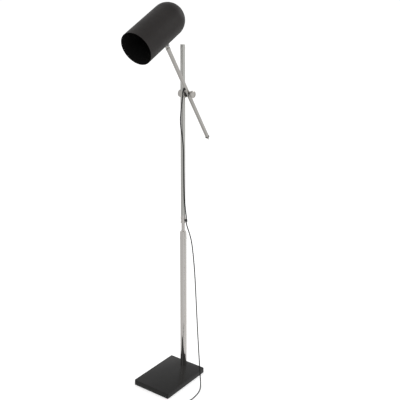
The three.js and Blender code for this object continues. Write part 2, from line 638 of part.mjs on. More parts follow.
// A straight tapered sleeve round the lead, from [x, y, z] along +Y or -Y.
function straightBoot([x, y, z], direction) {
  const bore = CORD / 2 + GAP;
  return alongMinusY(turned([
    [bore, 0], [BOOT.wide / 2, 0], [BOOT.wide / 2, 3], [BOOT.tip / 2, BOOT.length],
    [bore, BOOT.length], [bore, 0],
  ], 16)).rotateZ(direction > 0 ? Math.PI : 0).translate(x, y, z);
}

function buildSwitch(lamp) {
  const [x, y] = SWITCH_PLACE;
  const place = (geometry) => geometry.translate(x, y, 0);
  const [w, l] = [SWITCH.width, SWITCH.length];
  piece(lamp, 'switch_base', place(slab(w, l, SWITCH.base - GAP, 9, 0.8)), blackPlastic());
  const cover = slab(w, l, SWITCH.height - SWITCH.base, 9, 1.6).translate(0, 0, SWITCH.base);
  const hollow = slab(w - 2 * SWITCH.wall, l - 2 * SWITCH.wall, SWITCH.height - SWITCH.base - SWITCH.wall + 1, 7, 0)
    .translate(0, 0, SWITCH.base - 1);
  const leadHole = alongMinusY(rod(CORD / 2 + GAP, -l, l, 16)).translate(0, 0, switchLevel);
  const buttonHole = rod(SWITCH.button / 2 + GAP, 0, 40);
  piece(lamp, 'switch_cover', place(cut(cover, hollow, leadHole, buttonHole)), blackPlastic());
  piece(lamp, 'switch_boot_back', straightBoot([x, switchBack + GAP, switchLevel], 1), rubber());
  piece(lamp, 'switch_boot_front', straightBoot([x, switchFront - GAP, switchLevel], -1), rubber());
  const top = SWITCH.height + SWITCH.travel + 1;
  piece(lamp, 'switch_button', place(turned([
    [0, SWITCH.base + SWITCH.travel + 1.5],
    [SWITCH.button / 2 - 1.5, SWITCH.base + SWITCH.travel + 1.5],
    [SWITCH.button / 2, SWITCH.base + SWITCH.travel + 3],
    [SWITCH.button / 2, top - 1.5],
    [SWITCH.button / 2 - 1.5, top],
    [0, top + 0.6],
  ])), blackPlastic());
}

function buildPlug(lamp) {
  const plug = new THREE.Group();
  plug.position.set(PLUG_PLACE.x, PLUG_PLACE.y, 0);
  plug.rotation.z = THREE.MathUtils.degToRad(PLUG_PLACE.turn);
  lamp.add(plug);
  const [w, t, l] = [PLUG.width / 2, PLUG.thick, PLUG.length];
  const outline = new THREE.Shape([
    [0, -w + 1], [1, -w], [10, -w], [20, -w * 0.72], [l, -3.4], [l, 3.4], [20, w * 0.72], [10, w], [1, w], [0, w - 1],
  ].map(([a, b]) => new THREE.Vector2(a, b)));
  piece(plug, 'plug_body', new THREE.ExtrudeGeometry(outline, {
    depth: t - 2, bevelEnabled: true, bevelThickness: 1, bevelSize: 0.8, bevelOffset: -0.8, bevelSegments: 1,
  }).translate(0, 0, 1), blackPlastic());
  const bootStart = PLUG_PLACE.y - PLUG.length - GAP;
  piece(lamp, 'plug_boot', straightBoot([PLUG_PLACE.x, bootStart, t / 2], -1), rubber());
  for (const [name, side] of [['plug_blade_left', -1], ['plug_blade_right', 1]]) {
    const y = (side * PLUG.spread) / 2;
    const [bt, bw] = [PLUG.bladeThick / 2, PLUG.bladeWide / 2];
    piece(plug, name, box(-PLUG.blade - GAP, -GAP, y - bt, y + bt, t / 2 - bw, t / 2 + bw), brass());
  }
}

function buildLead(lamp) {
  piece(lamp, 'cord_upper', lead(UPPER_ROUTE, CORD / 2, 48, 8), rubber());
  piece(lamp, 'cord_lower', lead(LOWER_ROUTE, CORD / 2, 72, 8), rubber());
  piece(lamp, 'cord_link', lead(LINK_ROUTE, CORD / 2, 14, 8), rubber());
  piece(lamp, 'cord_tail', lead(TAIL_ROUTE, CORD / 2, 12, 8), rubber());

  const [half, high, round] = [COIL.wide / 2, COIL.high, 3];
  const under = TIE.thick + GAP;
  piece(lamp, 'cord_coil', turned([
    ...arc(COIL.radius + half - round, round, round, -90, 0, 2),
    ...arc(COIL.radius + half - round, high - round, round, 0, 90, 2),
    ...arc(COIL.radius - half + round, high - round, round, 90, 180, 2),
    ...arc(COIL.radius - half + round, round, round, 180, 270, 2),
    [COIL.radius + half - round, 0],
  ], 36).translate(COIL.x, COIL.y, under), rubber());

  const ti = half + 2.5 * GAP;
  const [to, w] = [ti + TIE.thick, TIE.width / 2];
  const band = cut(
    box(COIL.radius - to, COIL.radius + to, -w, w, 0, high + 2 * under),
    box(COIL.radius - ti, COIL.radius + ti, -w - 1, w + 1, TIE.thick, high + 2 * under - TIE.thick),
  );
  const turn = THREE.MathUtils.degToRad(TIE.turn);
  piece(lamp, 'coil_tie', band.rotateZ(turn).translate(COIL.x, COIL.y, 0), rubber());
}

// ---- assembly ----------------------------------------------------------------------------
const lamp = new THREE.Group();
buildBase(lamp);
buildPole(lamp);

const clamp = new THREE.Group();
clamp.position.z = CLAMP_HEIGHT;
lamp.add(clamp);

const arm = new THREE.Group();
arm.rotation.x = THREE.MathUtils.degToRad(ARM.lean);
clamp.add(arm);

const shade = new THREE.Group();
shade.position.set(armOffset, 0, ARM.reach);
shade.rotation.x = THREE.MathUtils.degToRad(SHADE.drop - ARM.lean);
arm.add(shade);

buildClamp(clamp, arm);
buildArm(arm);
buildBoot(arm);
buildTongue(arm);
buildFork(shade);
buildShade(shade);
buildLead(lamp);
buildSwitch(lamp);
buildPlug(lamp);

export default lamp;
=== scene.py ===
import json
import math

import bmesh
import bpy
from mathutils import Matrix, Vector


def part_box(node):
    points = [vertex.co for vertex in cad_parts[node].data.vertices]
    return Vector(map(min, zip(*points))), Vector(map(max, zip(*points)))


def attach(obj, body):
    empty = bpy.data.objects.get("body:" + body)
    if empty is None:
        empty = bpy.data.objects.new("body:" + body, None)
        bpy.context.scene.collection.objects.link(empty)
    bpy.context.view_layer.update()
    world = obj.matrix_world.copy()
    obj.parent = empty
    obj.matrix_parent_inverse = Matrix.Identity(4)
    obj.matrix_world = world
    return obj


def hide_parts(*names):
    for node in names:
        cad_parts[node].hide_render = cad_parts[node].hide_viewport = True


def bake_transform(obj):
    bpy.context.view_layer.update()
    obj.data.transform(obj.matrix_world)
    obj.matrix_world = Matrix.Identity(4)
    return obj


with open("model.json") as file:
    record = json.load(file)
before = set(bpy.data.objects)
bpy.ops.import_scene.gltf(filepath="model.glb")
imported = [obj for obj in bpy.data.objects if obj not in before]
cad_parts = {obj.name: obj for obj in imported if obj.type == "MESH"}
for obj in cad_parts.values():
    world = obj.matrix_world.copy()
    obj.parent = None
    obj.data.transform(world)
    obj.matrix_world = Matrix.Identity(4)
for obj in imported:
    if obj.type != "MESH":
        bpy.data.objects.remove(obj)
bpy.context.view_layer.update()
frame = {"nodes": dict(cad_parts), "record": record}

# ---- studio --------------------------------------------------------------------------------
# A wide white floor under a soft overcast of light, with one large lamp on the left and a weaker
# one behind, so that the plating shows long soft bands and the black enamel a broad dull gleam.
scene = bpy.context.scene
scene.view_settings.view_transform = "Standard"

eye = bpy.data.cameras.new("studio_camera")
eye.lens, eye.sensor_width = 58.06, 36.0
camera = bpy.data.objects.new("studio_camera", eye)
forward, up = Vector((-0.5615, 0.7759, -0.2877)), Vector((-0.1726, 0.2302, 0.9577))
right = forward.cross(up).normalized()
turn = Matrix((right, right.cross(forward), -forward)).transposed()
camera.matrix_world = Matrix.Translation((1.6309, -2.1286, 1.6347)) @ turn.to_4x4()
scene.collection.objects.link(camera)
scene.camera = camera

world = bpy.data.worlds.new("studio")
world.use_nodes = True
scene.world = world
sky = world.node_tree.nodes
sky.clear()
seen, surround = sky.new("ShaderNodeBackground"), sky.new("ShaderNodeBackground")
seen.inputs["Color"].default_value = (1, 1, 1, 1)
seen.inputs["Strength"].default_value = 1.05
choose, path = sky.new("ShaderNodeMixShader"), sky.new("ShaderNodeLightPath")
sky_out = sky.new("ShaderNodeOutputWorld")
world.node_tree.links.new(path.outputs["Is Camera Ray"], choose.inputs["Fac"])
world.node_tree.links.new(surround.outputs[0], choose.inputs[1])
world.node_tree.links.new(seen.outputs[0], choose.inputs[2])
world.node_tree.links.new(choose.outputs[0], sky_out.inputs["Surface"])

# The walls of light are dimmer towards the front left than at the sides and behind.
DIM_SIDE, DIM, BRIGHT = Vector((-0.45, -0.89, 0)), 0.8, 1.0
direction, facing = sky.new("ShaderNodeTexCoord"), sky.new("ShaderNodeVectorMath")
level_only, flat_length = sky.new("ShaderNodeVectorMath"), sky.new("ShaderNodeVectorMath")
brightness = sky.new("ShaderNodeMapRange")
level_only.operation, flat_length.operation, facing.operation = "MULTIPLY", "NORMALIZE", "DOT_PRODUCT"
level_only.inputs[1].default_value = (1, 1, 0)
facing.inputs[1].default_value = DIM_SIDE
brightness.interpolation_type = "SMOOTHSTEP"
for socket, value in (("From Min", -0.2), ("From Max", 0.9), ("To Min", BRIGHT), ("To Max", DIM)):
    brightness.inputs[socket].default_value = value
world.node_tree.links.new(direction.outputs["Generated"], level_only.inputs[0])
world.node_tree.links.new(level_only.outputs[0], flat_length.inputs[0])
world.node_tree.links.new(flat_length.outputs[0], facing.inputs[0])
world.node_tree.links.new(facing.outputs["Value"], brightness.inputs["Value"])
world.node_tree.links.new(brightness.outputs["Result"], surround.inputs["Strength"])


def soft_light(name, place, aim, size, power):
    """A square soft box at a place, turned towards a point."""
    data = bpy.data.lights.new(name, "AREA")
    data.size, data.energy = size, power
    lamp = bpy.data.objects.new(name, data)
    lamp.location = place
    lamp.rotation_euler = (Vector(aim) - Vector(place)).to_track_quat("-Z", "Y").to_euler()
    scene.collection.objects.link(lamp)


soft_light("key_light", (-0.4, -3.2, 2.6), (0, -0.1, 1.1), 1.6, 12)
soft_light("back_light", (1.4, 2.4, 2.8), (0, 0, 1.2), 1.5, 12)

floor_mesh = bpy.data.meshes.new("studio_floor")
floor_mesh.from_pydata([(-30, -30, 0), (30, -30, 0), (30, 30, 0), (-30, 30, 0)], [], [(0, 1, 2, 3)])
studio_floor = bpy.data.objects.new("studio_floor", floor_mesh)
scene.collection.objects.link(studio_floor)
floor_paint = bpy.data.materials.new("studio_floor_paint")
floor_paint.use_nodes = True
paint = floor_paint.node_tree.nodes["Principled BSDF"].inputs
paint["Base Color"].default_value = (0.93, 0.93, 0.93, 1)
paint["Roughness"].default_value = 0.9
paint["Emission Color"].default_value = (1, 1, 1, 1)
paint["Emission Strength"].default_value = 0.45
floor_mesh.materials.append(floor_paint)
studio_floor.visible_glossy = False

# ---- lead ----------------------------------------------------------------------------------
# One round black PVC lead, 4.8 mm thick. It leaves a bush in the arm, hangs down the front of the
# pole to a clip, drops to the floor and runs to a foot switch, and the rest is coiled and tied.
LEAD = 0.0048
AT_ARM = [
    (0.0283, -0.0369, 1.2923), (0.0276, -0.0372, 1.281), (0.0236, -0.0356, 1.264), (0.017, -0.0314, 1.241),
    (0.011, -0.0278, 1.215), (0.0068, -0.0252, 1.185), (0.0058, -0.0218, 1.152), (0.008, -0.0176, 1.122),
    (0.0114, -0.0146, 1.086), (0.013, -0.0128, 1.042), (0.0124, -0.0118, 0.995), (0.0126, -0.0108, 0.94),
    (0.0128, -0.0092, 0.885), (0.0136, -0.0074, 0.838), (0.0148, -0.0044, 0.8), (0.0164, -0.0016, 0.772),
    (0.0175, 0, 0.756), (0.0175, 0, 0.7448),
]
TO_SWITCH = [
    (0.0175, 0, 0.7332), (0.018, -0.0002, 0.727), (0.0214, -0.001, 0.716), (0.029, -0.0026, 0.701),
    (0.04, -0.005, 0.68), (0.052, -0.008, 0.648), (0.062, -0.011, 0.6), (0.071, -0.014, 0.54),
    (0.079, -0.017, 0.47), (0.086, -0.02, 0.39), (0.093, -0.023, 0.31), (0.101, -0.027, 0.23),
    (0.111, -0.033, 0.15), (0.123, -0.042, 0.08), (0.137, -0.055, 0.03), (0.153, -0.075, 0.007),
    (0.167, -0.1, 0.0028), (0.176, -0.128, 0.0026), (0.18, -0.16, 0.0026), (0.1805, -0.178, 0.0026),
    (0.1802, -0.192, 0.0046), (0.18, -0.205, 0.0074), (0.18, -0.2287, 0.0075),
]
TO_COIL = [
    (0.18, -0.2993, 0.0075), (0.18, -0.311, 0.0075), (0.18, -0.3215, 0.0075), (0.183, -0.331, 0.0054),
    (0.191, -0.338, 0.003), (0.203, -0.34, 0.0026), (0.216, -0.336, 0.0026), (0.226, -0.327, 0.0026),
    (0.233, -0.316, 0.003), (0.2395, -0.305, 0.0037),
]
TO_PLUG = [
    (0.271, -0.2786, 0.0086), (0.277, -0.2745, 0.0066), (0.284, -0.268, 0.0054), (0.2895, -0.26, 0.0064),
    (0.2929, -0.252, 0.0074), (0.2935, -0.246, 0.0075), (0.2935, -0.237, 0.0075), (0.2935, -0.2279, 0.0075),
]


def smooth_line(points, steps=6):
    """A centripetal Catmull-Rom line through the points."""
    knots = [Vector(p) for p in points]
    knots = [2 * knots[0] - knots[1], *knots, 2 * knots[-1] - knots[-2]]
    line = []
    for a, b, c, d in zip(knots, knots[1:], knots[2:], knots[3:]):
        ab, bc, cd = ((q - p).length ** 0.5 for p, q in ((a, b), (b, c), (c, d)))
        leaving = ((b - a) / ab - (c - a) / (ab + bc) + (c - b) / bc) * bc
        arriving = ((c - b) / bc - (d - b) / (bc + cd) + (d - c) / cd) * bc
        for i in range(steps):
            t = i / steps
            line.append(
                b * (2 * t**3 - 3 * t**2 + 1) + leaving * (t**3 - 2 * t**2 + t)
                + c * (3 * t**2 - 2 * t**3) + arriving * (t**3 - t**2)
            )
    return [*line, knots[-2]]


def new_material(name, colour, roughness, metallic=0.0):
    """A new material and its Principled shader, for the finish to build on."""
    made = bpy.data.materials.new(name)
    made.use_nodes = True
    made.diffuse_color = (*colour, 1)
    shader = made.node_tree.nodes["Principled BSDF"]
    shader.inputs["Base Color"].default_value = (*colour, 1)
    shader.inputs["Roughness"].default_value = roughness
    shader.inputs["Metallic"].default_value = metallic
    return made, shader


def grain(made, scale, detail=3.0, stretch=(1, 1, 1)):
    """Noise in the piece's own coordinates, stretched along an axis where the finish has a lay."""
    nodes, links = made.node_tree.nodes, made.node_tree.links
    place, mapping = nodes.new("ShaderNodeTexCoord"), nodes.new("ShaderNodeMapping")
    noise = nodes.new("ShaderNodeTexNoise")
    mapping.inputs["Scale"].default_value = stretch
    noise.inputs["Scale"].default_value = scale
    noise.inputs["Detail"].default_value = detail
    links.new(place.outputs["Object"], mapping.inputs["Vector"])
    links.new(mapping.outputs["Vector"], noise.inputs["Vector"])
    return noise.outputs["Fac"]


def vary(made, value, socket, low, high):
    """Spreads a texture's value between two numbers or two colours on a shader socket."""
    nodes, links = made.node_tree.nodes, made.node_tree.links
    ramp = nodes.new("ShaderNodeValToRGB")
    for stop, level, place in zip(ramp.color_ramp.elements, (low, high), (0.3, 0.7)):
        stop.position = place
        stop.color = (*level, 1) if isinstance(level, tuple) else (level, level, level, 1)
    links.new(value, ramp.inputs["Fac"])
    links.new(ramp.outputs["Color"], socket)


def roughen(made, value, strength, depth):
    """Bump from a texture's value, with its height in metres."""
    nodes, links = made.node_tree.nodes, made.node_tree.links
    bump = nodes.new("ShaderNodeBump")
    bump.inputs["Strength"].default_value = strength
    bump.inputs["Distance"].default_value = depth
    links.new(value, bump.inputs["Height"])
    links.new(bump.outputs["Normal"], nodes["Principled BSDF"].inputs["Normal"])


def pvc_jacket():
    made, shader = new_material("pvc_jacket", (0.006, 0.006, 0.006), 0.5)
    shader.inputs["Specular IOR Level"].default_value = 0.25
    vary(made, grain(made, 260, 2), shader.inputs["Base Color"], (0.004, 0.004, 0.004), (0.009, 0.009, 0.0085))
    vary(made, grain(made, 90), shader.inputs["Roughness"], 0.42, 0.58)
    roughen(made, grain(made, 900, 1), 0.15, 0.00005)
    return made


jacket = pvc_jacket()


def round_lead(name, line, material):
    """A lead as one open spline with a round section."""
    data = bpy.data.curves.new(name, "CURVE")
    data.dimensions, data.fill_mode = "3D", "FULL"
    data.bevel_depth, data.bevel_resolution, data.use_fill_caps = LEAD / 2, 4, True
    spline = data.splines.new("POLY")
    spline.points.add(len(line) - 1)
    for point, place in zip(spline.points, line):
        point.co = (*place, 1)
    data.materials.append(material)
    made = bpy.data.objects.new(name, data)
    scene.collection.objects.link(made)
    return made


def as_mesh(made):
    """The evaluated shape of a piece as a plain mesh object of the same name."""
    name = made.name
    data = bpy.data.meshes.new_from_object(made.evaluated_get(bpy.context.evaluated_depsgraph_get()))
    bpy.data.objects.remove(made)
    data.name = name
    plain = bpy.data.objects.new(name, data)
    scene.collection.objects.link(plain)
    return plain


# The hanging stretch is cut into three lengths end to end, at the heights named here.
SLIDE_STRETCH, SWIVEL_STRETCH = 1.17, 1.245
hanging = smooth_line(AT_ARM, 10)
swivel_start = next(i for i, p in enumerate(hanging) if p.z < SWIVEL_STRETCH)
slide_start = next(i for i, p in enumerate(hanging) if p.z < SLIDE_STRETCH)
lengths = [
    ("lead_at_arm", hanging[: swivel_start + 1], "clamp", "arm"),
    ("lead_at_clamp", hanging[swivel_start : slide_start + 1], "carriage", "clamp"),
    ("lead_down_pole", hanging[slide_start:], "stand", "carriage"),
]
for name, line, below, above in lengths:
    stretch = as_mesh(round_lead(name, line, jacket))
    for face in stretch.data.polygons:
        face.use_smooth = True
    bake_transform(stretch)
    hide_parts("cord_upper")

falling = smooth_line(TO_SWITCH)
lead_to_switch = round_lead("lead_to_switch", falling, jacket)
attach(lead_to_switch, "stand")
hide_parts("cord_lower")

# The spare length goes round twice on the floor, winding in, and twice on top, winding out.
coil_low, coil_high = (Vector(corner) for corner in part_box("cord_coil"))
coil_centre = (coil_low + coil_high) / 2
COIL_TURNS, TURN_POINTS = 3.9, 24
COIL_OUTER, COIL_INNER = 0.0312, 0.0252
FIRST_LAYER, SECOND_LAYER = coil_low.z + 0.0026, coil_high.z - 0.0026


def coil_line(start_degrees):
    line = []
    count = round(COIL_TURNS * TURN_POINTS)
    for i in range(count + 1):
        share = i / count
        angle = math.radians(start_degrees) + share * COIL_TURNS * 2 * math.pi
        inward = 1 - abs(2 * share - 1)
        radius = COIL_OUTER + (COIL_INNER - COIL_OUTER) * inward
        climb = min(max((share - 0.44) / 0.12, 0), 1)
        climb = climb * climb * (3 - 2 * climb)
        line.append(Vector((
            coil_centre.x + radius * math.cos(angle),
            coil_centre.y + radius * math.sin(angle),
            FIRST_LAYER + (SECOND_LAYER - FIRST_LAYER) * climb,
        )))
    return line


spare = smooth_line([*TO_COIL, *coil_line(-62), *TO_PLUG], 2)
lead_spare = round_lead("lead_spare", spare, jacket)
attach(lead_spare, "stand")
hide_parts("cord_link", "cord_coil", "cord_tail")

# ---- plate ---------------------------------------------------------------------------------
# A slab of steel plate, its corners ground to a small radius and its edges eased, sprayed with
# gloss black lacquer and rubbed down. A bolt hole is bored from below and a felt sheet covers it.
MM = 0.001


def span(node):
    """A CAD node's lowest and highest corners, in millimetres."""
    return [Vector(corner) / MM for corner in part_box(node)]


def shaped(name, build, place=Matrix()):
    """A new object from a function that fills a bmesh in millimetres, moved by a matrix in metres."""
    shape = bmesh.new()
    build(shape)
    bmesh.ops.remove_doubles(shape, verts=shape.verts, dist=1e-4)
    bmesh.ops.recalc_face_normals(shape, faces=shape.faces)
    shape.transform(place @ Matrix.Scale(MM, 4))
    data = bpy.data.meshes.new(name)
    shape.to_mesh(data)
    shape.free()
    made = bpy.data.objects.new(name, data)
    scene.collection.objects.link(made)
    return made


def slab(name, low, high, corner, place=Matrix()):
    """An upright block between two corners, with rounded vertical edges."""
    centre, half = (low + high) / 2, (high - low) / 2

    def build(shape):
        ring = []
        for side_x, side_y, first in ((1, 1, 0), (-1, 1, 90), (-1, -1, 180), (1, -1, 270)):
            for step in range(9):
                angle = math.radians(first + step * 90 / 8)
                ring.append((
                    centre.x + side_x * (half.x - corner) + corner * math.cos(angle),
                    centre.y + side_y * (half.y - corner) + corner * math.sin(angle),
                ))
        bottom = shape.faces.new([shape.verts.new((x, y, low.z)) for x, y in ring])
        risen = bmesh.ops.extrude_face_region(shape, geom=[bottom])
        top = [v for v in risen["geom"] if isinstance(v, bmesh.types.BMVert)]
        bmesh.ops.translate(shape, verts=top, vec=(0, 0, high.z - low.z))

    return shaped(name, build, place)


def eased(made, width, segments=3):
    """Rounds a piece's sharp edges, in millimetres."""
    bevel = made.modifiers.new("eased_edges", "BEVEL")
    bevel.width, bevel.segments = width * MM, segments
    bevel.limit_method, bevel.angle_limit = "ANGLE", math.radians(32)
    return as_mesh(made)


def bored(made, *cutters):
    """A piece with the space of each cutter taken out of it."""
    for cutter in cutters:
        hole = made.modifiers.new("bore", "BOOLEAN")
        hole.operation, hole.solver, hole.object = "DIFFERENCE", "EXACT", cutter
    plain = as_mesh(made)
    for cutter in cutters:
        bpy.data.objects.remove(cutter)
    return plain


def fitted(made, material, slot, body, *nodes, smooth=32):
    """A finished piece: its material and shading, its body, and the CAD nodes that it stands for."""
    made.data.materials.clear()
    made.data.materials.append(material)
    made.data.shade_smooth()
    made.data.set_sharp_from_angle(angle=math.radians(smooth))
    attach(made, body)
    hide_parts(*nodes)
    return made


def outline(*corners, steps=5):
    """A closed section from (radius, height, fillet) corners, each fillet a short arc."""
    points = []
    for i, (r, z, fillet) in enumerate(corners):
        here = Vector((r, z))
        if not fillet:
            points.append(here)
            continue
        before = (Vector(corners[i - 1][:2]) - here).normalized()
        after = (Vector(corners[(i + 1) % len(corners)][:2]) - here).normalized()
        half = before.angle(after) / 2
        centre = here + (before + after).normalized() * fillet / math.sin(half)
        start, end = (here + side * fillet / math.tan(half) - centre for side in (before, after))
        points += [centre + start.slerp(end, step / steps) for step in range(steps + 1)]
    return points


def turned(name, section, place=Matrix(), sides=96):
    """A piece turned about its own Z axis from a closed section."""

    def build(shape):
        rings = []
        for r, z in section:
            spots = [0] if r < 1e-6 else [2 * math.pi * i / sides for i in range(sides)]
            rings.append([shape.verts.new((r * math.cos(a), r * math.sin(a), z)) for a in spots])
        for one, two in zip(rings, [*rings[1:], rings[0]]):
            for i in range(sides if max(len(one), len(two)) > 1 else 0):
                j = (i + 1) % sides
                corners = [one[i % len(one)], one[j % len(one)], two[j % len(two)], two[i % len(two)]]
                shape.faces.new(list(dict.fromkeys(corners)))

    return shaped(name, build, place)


def gloss_lacquer():
    made, shader = new_material("gloss_lacquer", (0.009, 0.0087, 0.0082), 0.2)
    shader.inputs["Specular IOR Level"].default_value = 0.24
    vary(made, grain(made, 12, 4), shader.inputs["Roughness"], 0.14, 0.26)
    vary(made, grain(made, 40, 5), shader.inputs["Base Color"], (0.007, 0.0067, 0.0063), (0.012, 0.0115, 0.011))
    roughen(made, grain(made, 220, 2), 0.05, 0.0001)
    return made


plate_low, plate_high = span("base_plate")
bolt_hole = span("base_bolt")
washer = span("base_washer")
base_plate = eased(slab("base_plate_lacquered", plate_low, plate_high, 4), 0.9)
base_plate = bored(
    base_plate,
    turned("washer_recess", outline((0, plate_low.z - 1, 0), (17, plate_low.z - 1, 0),
                                    (17, washer[1].z + 0.3, 0), (0, washer[1].z + 0.3, 0))),
    turned("bolt_clearance", outline((0, plate_low.z, 0), (6.3, plate_low.z, 0),
                                     (6.3, plate_high.z + 1, 0), (0, plate_high.z + 1, 0))),
)
fitted(base_plate, gloss_lacquer(), "gloss_black", "stand", "base_plate")


def wool_felt():
    made, shader = new_material("wool_felt", (0.02, 0.02, 0.02), 1.0)
    shader.inputs["Sheen Weight"].default_value = 0.3
    vary(made, grain(made, 500, 6), shader.inputs["Base Color"], (0.012, 0.012, 0.012), (0.035, 0.034, 0.033))
    roughen(made, grain(made, 700, 6), 0.6, 0.0004)
    return made


felt_low, felt_high = span("base_felt")
fitted(slab("base_felt_sheet", felt_low, felt_high, 4), wool_felt(), "felt", "stand", "base_felt")

# ---- base bolt -----------------------------------------------------------------------------
# A zinc-plated hex bolt and washer come up through the plate into a threaded plug pressed into
# the foot of the lower tube, and pull the tube down on the plate.


def zinc_plate():
    made, shader = new_material("zinc_plate", (0.5, 0.51, 0.53), 0.35, 1.0)
    vary(made, grain(made, 180, 4), shader.inputs["Roughness"], 0.28, 0.48)
    vary(made, grain(made, 60, 3), shader.inputs["Base Color"], (0.45, 0.46, 0.48), (0.56, 0.57, 0.59))
    return made


def dressed(material, slot, *nodes):
    """CAD nodes shown as they are, with a finished material."""
    for node in nodes:
        built = frame["nodes"][node]
        built.data.materials.clear()
        built.data.materials.append(material)


zinc = zinc_plate()
dressed(zinc, "zinc_steel", "base_washer", "base_bolt", "tube_foot_plug")

# ---- pole ----------------------------------------------------------------------------------
# Two lengths of drawn steel tube, polished along their length and chrome plated. A thinner spigot
# joins them and shows between the collar of the lower tube and the grooved ring of the upper one.


def chrome_plate(name, colour, lay=(1, 1, 0.02)):
    """Bright plating over metal polished along one axis."""
    made, shader = new_material(name, colour, 0.12, 1.0)
    deep = tuple(channel * 0.93 for channel in colour)
    bright = tuple(min(channel * 1.07, 1) for channel in colour)
    vary(made, grain(made, 30, 3, lay), shader.inputs["Base Color"], deep, bright)
    vary(made, grain(made, 500, 2, lay), shader.inputs["Roughness"], 0.09, 0.2)
    roughen(made, grain(made, 1400, 2, lay), 0.06, 0.00003)
    return made


# Painted light and shade: each plated part gets its own tone of one chrome, set by how bright it looks; the lower
# tube's is the lightest.
pole_chrome_painted_light = chrome_plate("pole_chrome_painted_light", (0.65, 0.625, 0.6))


def tube_section(node, wall, ease=0.4):
    """The section of an upright tube as tall and as wide as its CAD node."""
    low, high = span(node)
    outer = (high.x - low.x) / 2
    return outline((outer - wall, low.z, 0), (outer, low.z, ease), (outer, high.z, ease), (outer - wall, high.z, 0))


fitted(turned("lower_tube_plated", tube_section("lower_tube", 1.5)), pole_chrome_painted_light, "chrome", "stand", "lower_tube")

collar_low, collar_high = span("lower_tube_collar")
collar_radius = (collar_high.x - collar_low.x) / 2
tube_radius = (span("lower_tube")[1].x - span("lower_tube")[0].x) / 2
spigot_radius = span("pole_spigot")[1].x
collar = outline(
    (tube_radius + 0.3, collar_low.z, 0), (collar_radius, collar_low.z, 0.8), (collar_radius, collar_high.z, 3),
    (spigot_radius + 0.3, collar_high.z, 0.4), (spigot_radius + 0.3, collar_high.z - 8, 0),
    (tube_radius + 0.3, collar_high.z - 8, 0),
)
fitted(turned("lower_collar_plated", collar), pole_chrome_painted_light, "chrome", "stand", "lower_tube_collar")
fitted(turned("spigot_plated", tube_section("pole_spigot", 2)), pole_chrome_painted_light, "chrome", "stand", "pole_spigot")

ring_low, ring_high = span("pole_adapter")
lip_radius, pole_radius = ring_high.x, span("upper_pole")[1].x
RING_RADIUS, RING_GROOVE, PEG_HOLE = 10.3, 20, 2.3
clip_low, clip_high = span("cord_clip")
groove_foot = ring_low.z + RING_GROOVE
ring = outline(
    (spigot_radius + 0.3, ring_low.z, 0), (lip_radius, ring_low.z, 0.6), (lip_radius, ring_low.z + 4.4, 0.6),
    (RING_RADIUS, ring_low.z + 5, 0.2), (RING_RADIUS, groove_foot, 0.2),
    (RING_RADIUS - 0.6, groove_foot + 0.6, 0.1), (RING_RADIUS - 0.6, groove_foot + 1.8, 0.1),
    (RING_RADIUS, groove_foot + 2.4, 0.2), (RING_RADIUS, ring_high.z - 2, 0.8), (pole_radius, ring_high.z, 0.2),
    (spigot_radius + 0.3, ring_high.z, 0),
)
peg_hole = turned("peg_hole", outline((0, 0, 0), (PEG_HOLE, 0, 0), (PEG_HOLE, 15, 0), (0, 15, 0)),
                  Matrix.Translation((0, 0, (clip_low.z + clip_high.z) / 2 * MM)) @ Matrix.Rotation(math.pi / 2, 4, "Y"))
fitted(bored(turned("adapter_ring_plated", ring), peg_hole), pole_chrome_painted_light, "chrome", "stand", "pole_adapter", smooth=40)

# Painted shade: the upper tube's plating is darker than the lower tube's, for the dimmer light it reflects.
upper_chrome_painted_shade = chrome_plate("upper_chrome_painted_shade", (0.56, 0.555, 0.53))
fitted(turned("upper_pole_plated", tube_section("upper_pole", 1.5)), upper_chrome_painted_shade, "chrome", "stand", "upper_pole")

cap_low, cap_high = span("pole_cap")
cap_radius, cap_seat = cap_high.x, span("upper_pole")[1].z + 0.3
cap = outline(
    (0, cap_low.z, 0), (pole_radius - 1.8, cap_low.z, 0.5), (pole_radius - 1.8, cap_seat, 0),
    (cap_radius, cap_seat, 0.4), (cap_radius, cap_high.z, 1), (0, cap_high.z, 0),
)
fitted(turned("pole_cap_plated", cap), upper_chrome_painted_shade, "chrome", "stand", "pole_cap")


def natural_nylon():
    made, shader = new_material("natural_nylon", (0.72, 0.69, 0.6), 0.5)
    vary(made, grain(made, 120, 3), shader.inputs["Base Color"], (0.68, 0.65, 0.56), (0.78, 0.75, 0.66))
    return made


nylon = natural_nylon()
dressed(nylon, "nylon", "spigot_bush")

# ---- lead clip -----------------------------------------------------------------------------
# A black moulded clip pegged into the side of the grooved ring, with a round lug that the lead is
# threaded down through.


def black_moulding():
    made, shader = new_material("black_moulding", (0.02, 0.02, 0.02), 0.5)
    vary(made, grain(made, 160, 4), shader.inputs["Base Color"], (0.014, 0.014, 0.014), (0.028, 0.028, 0.027))
    vary(made, grain(made, 400, 2), shader.inputs["Roughness"], 0.42, 0.6)
    roughen(made, grain(made, 900, 2), 0.25, 0.00006)
    return made


moulding = black_moulding()


def as_built(name, node):
    """A CAD node's own shape as a new piece, with its loose triangles merged."""
    data = frame["nodes"][node].data.copy()
    shape = bmesh.new()
    shape.from_mesh(data)
    shape.transform(frame["nodes"][node].matrix_world)
    bmesh.ops.remove_doubles(shape, verts=shape.verts, dist=1e-6)
    bmesh.ops.dissolve_limit(shape, angle_limit=0.01, verts=shape.verts, edges=shape.edges)
    shape.to_mesh(data)
    shape.free()
    made = bpy.data.objects.new(name, data)
    scene.collection.objects.link(made)
    return made


fitted(eased(as_built("lead_clip_moulded", "cord_clip"), 0.5), moulding, "black_plastic", "stand", "cord_clip")

